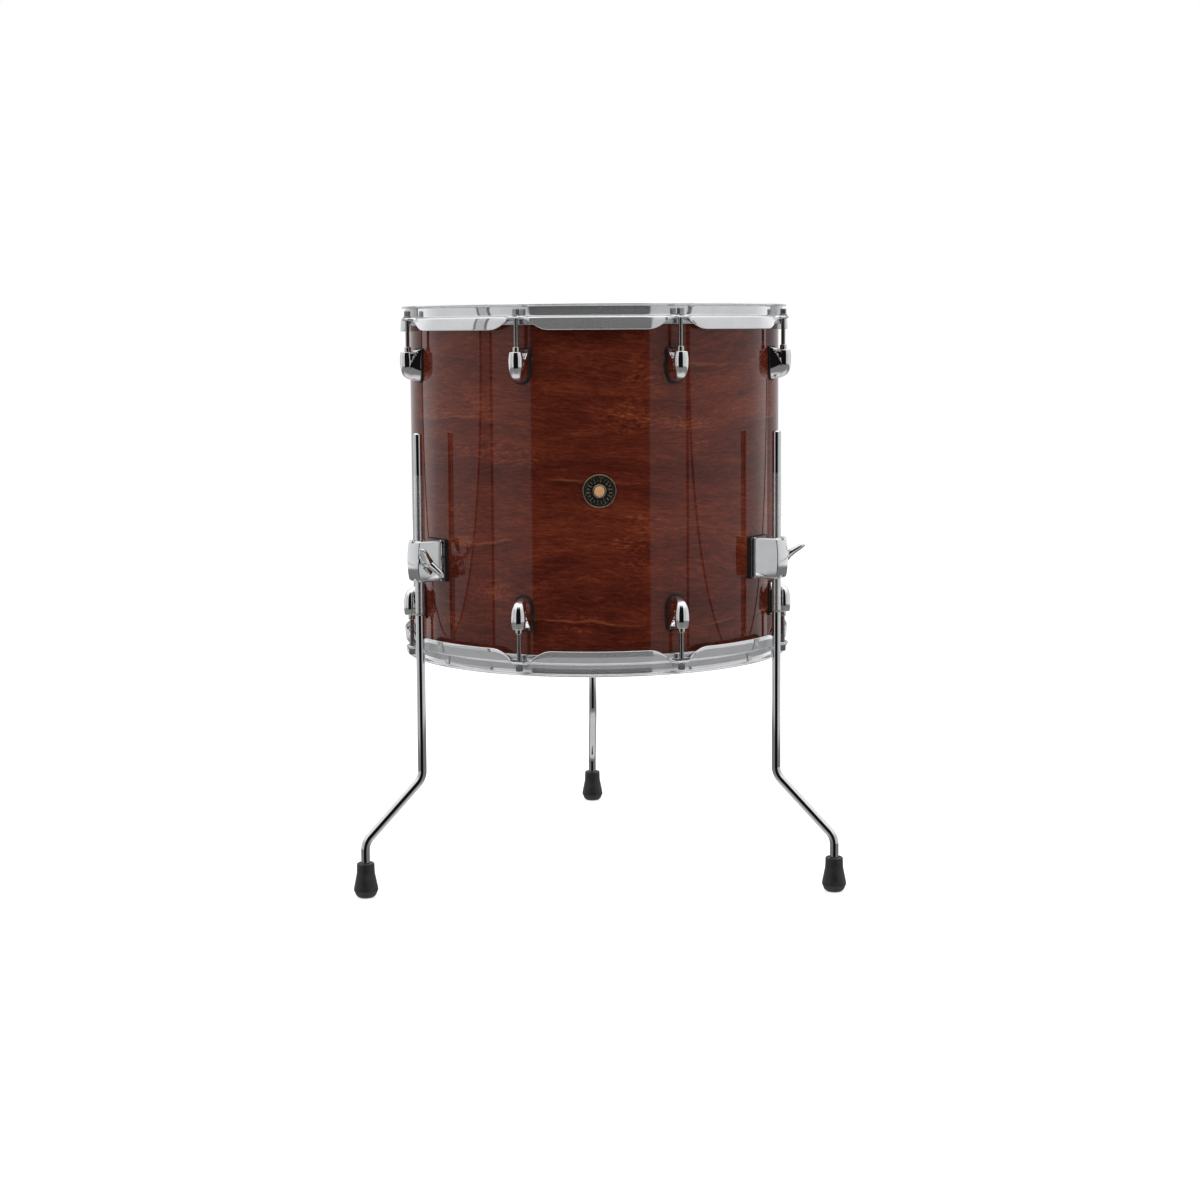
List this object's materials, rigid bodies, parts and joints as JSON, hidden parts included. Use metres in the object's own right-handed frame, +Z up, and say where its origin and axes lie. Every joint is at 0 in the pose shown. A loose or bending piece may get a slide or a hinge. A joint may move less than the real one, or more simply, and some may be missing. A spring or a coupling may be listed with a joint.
{
  "type": "floor tom drum",
  "caption": "Floor-standing tom drum: lacquered wooden shell on clamped height-adjustable legs, with coated and clear heads held by flanged hoops, tension rods and lugs.",
  "frame": {"origin": "bottom centre of the bounding box, on the floor the feet stand on; the drum's own axis is vertical at x = 0, y = -0.0444 m", "axes": "+Z up along the drum's axis; -Y is the front, with the badge, and two of the legs; the back leg points to +Y"},
  "size_m": [0.5226, 0.5156, 0.6226],
  "materials": {
    "shell_lacquer": "high-gloss clear lacquer over red-brown walnut",
    "chrome": "polished chrome plate",
    "leg_chrome": "polished chrome plate, knurled where it is clamped",
    "satin_aluminium": "satin",
    "coated_film": "sprayed matte coating",
    "clear_film": "clear film",
    "black_rubber": "matte",
    "badge_enamel": "black enamel with a pale metal rim",
    "vent_brass": "polished"
  },
  "bodies": {
    "root": {"shell": "shell_lacquer", "badge": "badge_enamel", "vent_grommet": "vent_brass", "batter_head": "coated_film", "resonant_head": "clear_film", "batter_flesh_hoop": "satin_aluminium", "resonant_flesh_hoop": "satin_aluminium", "batter_lug_1": "chrome", "batter_lug_2": "chrome", "batter_lug_3": "chrome", "batter_lug_4": "chrome", "batter_lug_5": "chrome", "batter_lug_6": "chrome", "batter_lug_7": "chrome", "batter_lug_8": "chrome", "resonant_lug_1": "chrome", "resonant_lug_2": "chrome", "resonant_lug_3": "chrome", "resonant_lug_4": "chrome", "resonant_lug_5": "chrome", "resonant_lug_6": "chrome", "resonant_lug_7": "chrome", "resonant_lug_8": "chrome", "leg_gasket_left": "black_rubber", "leg_gasket_right": "black_rubber", "leg_gasket_back": "black_rubber", "leg_bracket_left": "chrome", "leg_bracket_right": "chrome", "leg_bracket_back": "chrome"},
    "batter_hoop": {"batter_hoop": "chrome"},
    "resonant_hoop": {"resonant_hoop": "chrome"},
    "batter_rod_1": {"batter_tension_rod_1": "chrome"},
    "batter_rod_2": {"batter_tension_rod_2": "chrome"},
    "batter_rod_3": {"batter_tension_rod_3": "chrome"},
    "batter_rod_4": {"batter_tension_rod_4": "chrome"},
    "batter_rod_5": {"batter_tension_rod_5": "chrome"},
    "batter_rod_6": {"batter_tension_rod_6": "chrome"},
    "batter_rod_7": {"batter_tension_rod_7": "chrome"},
    "batter_rod_8": {"batter_tension_rod_8": "chrome"},
    "resonant_rod_1": {"resonant_tension_rod_1": "chrome"},
    "resonant_rod_2": {"resonant_tension_rod_2": "chrome"},
    "resonant_rod_3": {"resonant_tension_rod_3": "chrome"},
    "resonant_rod_4": {"resonant_tension_rod_4": "chrome"},
    "resonant_rod_5": {"resonant_tension_rod_5": "chrome"},
    "resonant_rod_6": {"resonant_tension_rod_6": "chrome"},
    "resonant_rod_7": {"resonant_tension_rod_7": "chrome"},
    "resonant_rod_8": {"resonant_tension_rod_8": "chrome"},
    "leg_left": {"leg_left": "leg_chrome", "foot_left": "black_rubber"},
    "wing_bolt_left": {"wing_bolt_left": "chrome"},
    "leg_right": {"leg_right": "leg_chrome", "foot_right": "black_rubber"},
    "wing_bolt_right": {"wing_bolt_right": "chrome"},
    "leg_back": {"leg_back": "leg_chrome", "foot_back": "black_rubber"},
    "wing_bolt_back": {"wing_bolt_back": "chrome"}
  },
  "joints": [
    {"name": "batter_hoop_slide", "type": "slide", "parent": "root", "child": "batter_hoop", "axis": [0, 0, 1], "range_m": [0, 0.003]},
    {"name": "batter_rod_1_turn", "type": "hinge", "parent": "batter_hoop", "child": "batter_rod_1", "pos_m": [0.08293, -0.24455, 0.6109], "axis": [0, 0, 1], "range_deg": [0, 1022]},
    {"name": "batter_rod_2_turn", "type": "hinge", "parent": "batter_hoop", "child": "batter_rod_2", "pos_m": [0.2002, -0.12728, 0.6109], "axis": [0, 0, 1], "range_deg": [0, 1022]},
    {"name": "batter_rod_3_turn", "type": "hinge", "parent": "batter_hoop", "child": "batter_rod_3", "pos_m": [0.2002, 0.03858, 0.6109], "axis": [0, 0, 1], "range_deg": [0, 1022]},
    {"name": "batter_rod_4_turn", "type": "hinge", "parent": "batter_hoop", "child": "batter_rod_4", "pos_m": [0.08293, 0.15585, 0.6109], "axis": [0, 0, 1], "range_deg": [0, 1022]},
    {"name": "batter_rod_5_turn", "type": "hinge", "parent": "batter_hoop", "child": "batter_rod_5", "pos_m": [-0.08293, 0.15585, 0.6109], "axis": [0, 0, 1], "range_deg": [0, 1022]},
    {"name": "batter_rod_6_turn", "type": "hinge", "parent": "batter_hoop", "child": "batter_rod_6", "pos_m": [-0.2002, 0.03858, 0.6109], "axis": [0, 0, 1], "range_deg": [0, 1022]},
    {"name": "batter_rod_7_turn", "type": "hinge", "parent": "batter_hoop", "child": "batter_rod_7", "pos_m": [-0.2002, -0.12728, 0.6109], "axis": [0, 0, 1], "range_deg": [0, 1022]},
    {"name": "batter_rod_8_turn", "type": "hinge", "parent": "batter_hoop", "child": "batter_rod_8", "pos_m": [-0.08293, -0.24455, 0.6109], "axis": [0, 0, 1], "range_deg": [0, 1022]},
    {"name": "resonant_hoop_slide", "type": "slide", "parent": "root", "child": "resonant_hoop", "axis": [0, 0, -1], "range_m": [0, 0.003]},
    {"name": "resonant_rod_1_turn", "type": "hinge", "parent": "resonant_hoop", "child": "resonant_rod_1", "pos_m": [0.08293, -0.24455, 0.2553], "axis": [0, 0, -1], "range_deg": [0, 1022]},
    {"name": "resonant_rod_2_turn", "type": "hinge", "parent": "resonant_hoop", "child": "resonant_rod_2", "pos_m": [0.2002, -0.12728, 0.2553], "axis": [0, 0, -1], "range_deg": [0, 1022]},
    {"name": "resonant_rod_3_turn", "type": "hinge", "parent": "resonant_hoop", "child": "resonant_rod_3", "pos_m": [0.2002, 0.03858, 0.2553], "axis": [0, 0, -1], "range_deg": [0, 1022]},
    {"name": "resonant_rod_4_turn", "type": "hinge", "parent": "resonant_hoop", "child": "resonant_rod_4", "pos_m": [0.08293, 0.15585, 0.2553], "axis": [0, 0, -1], "range_deg": [0, 1022]},
    {"name": "resonant_rod_5_turn", "type": "hinge", "parent": "resonant_hoop", "child": "resonant_rod_5", "pos_m": [-0.08293, 0.15585, 0.2553], "axis": [0, 0, -1], "range_deg": [0, 1022]},
    {"name": "resonant_rod_6_turn", "type": "hinge", "parent": "resonant_hoop", "child": "resonant_rod_6", "pos_m": [-0.2002, 0.03858, 0.2553], "axis": [0, 0, -1], "range_deg": [0, 1022]},
    {"name": "resonant_rod_7_turn", "type": "hinge", "parent": "resonant_hoop", "child": "resonant_rod_7", "pos_m": [-0.2002, -0.12728, 0.2553], "axis": [0, 0, -1], "range_deg": [0, 1022]},
    {"name": "resonant_rod_8_turn", "type": "hinge", "parent": "resonant_hoop", "child": "resonant_rod_8", "pos_m": [-0.08293, -0.24455, 0.2553], "axis": [0, 0, -1], "range_deg": [0, 1022]},
    {"name": "leg_left_height", "type": "slide", "parent": "root", "child": "leg_left", "axis": [0, 0, 1], "range_m": [-0.11, 0.18]},
    {"name": "wing_bolt_left_turn", "type": "hinge", "parent": "root", "child": "wing_bolt_left", "pos_m": [-0.18916, -0.17074, 0.3552], "axis": [0.5556, -0.8315, 0], "range_deg": [0, 360]},
    {"name": "leg_right_height", "type": "slide", "parent": "root", "child": "leg_right", "axis": [0, 0, 1], "range_m": [-0.11, 0.18]},
    {"name": "wing_bolt_right_turn", "type": "hinge", "parent": "root", "child": "wing_bolt_right", "pos_m": [0.18916, -0.17074, 0.3552], "axis": [0.5556, 0.8315, 0], "range_deg": [0, 360]},
    {"name": "leg_back_height", "type": "slide", "parent": "root", "child": "leg_back", "axis": [0, 0, 1], "range_m": [-0.11, 0.18]},
    {"name": "wing_bolt_back_turn", "type": "hinge", "parent": "root", "child": "wing_bolt_back", "pos_m": [0, 0.18315, 0.3552], "axis": [-1, 0, 0], "range_deg": [0, 360]}
  ],
  "couplings": [
    {"joint": "batter_rod_1_turn", "follows": "batter_hoop_slide", "rad_per_m": 5936.9},
    {"joint": "batter_rod_2_turn", "follows": "batter_hoop_slide", "rad_per_m": 5936.9},
    {"joint": "batter_rod_3_turn", "follows": "batter_hoop_slide", "rad_per_m": 5936.9},
    {"joint": "batter_rod_4_turn", "follows": "batter_hoop_slide", "rad_per_m": 5936.9},
    {"joint": "batter_rod_5_turn", "follows": "batter_hoop_slide", "rad_per_m": 5936.9},
    {"joint": "batter_rod_6_turn", "follows": "batter_hoop_slide", "rad_per_m": 5936.9},
    {"joint": "batter_rod_7_turn", "follows": "batter_hoop_slide", "rad_per_m": 5936.9},
    {"joint": "batter_rod_8_turn", "follows": "batter_hoop_slide", "rad_per_m": 5936.9},
    {"joint": "resonant_rod_1_turn", "follows": "resonant_hoop_slide", "rad_per_m": 5936.9},
    {"joint": "resonant_rod_2_turn", "follows": "resonant_hoop_slide", "rad_per_m": 5936.9},
    {"joint": "resonant_rod_3_turn", "follows": "resonant_hoop_slide", "rad_per_m": 5936.9},
    {"joint": "resonant_rod_4_turn", "follows": "resonant_hoop_slide", "rad_per_m": 5936.9},
    {"joint": "resonant_rod_5_turn", "follows": "resonant_hoop_slide", "rad_per_m": 5936.9},
    {"joint": "resonant_rod_6_turn", "follows": "resonant_hoop_slide", "rad_per_m": 5936.9},
    {"joint": "resonant_rod_7_turn", "follows": "resonant_hoop_slide", "rad_per_m": 5936.9},
    {"joint": "resonant_rod_8_turn", "follows": "resonant_hoop_slide", "rad_per_m": 5936.9}
  ]
}
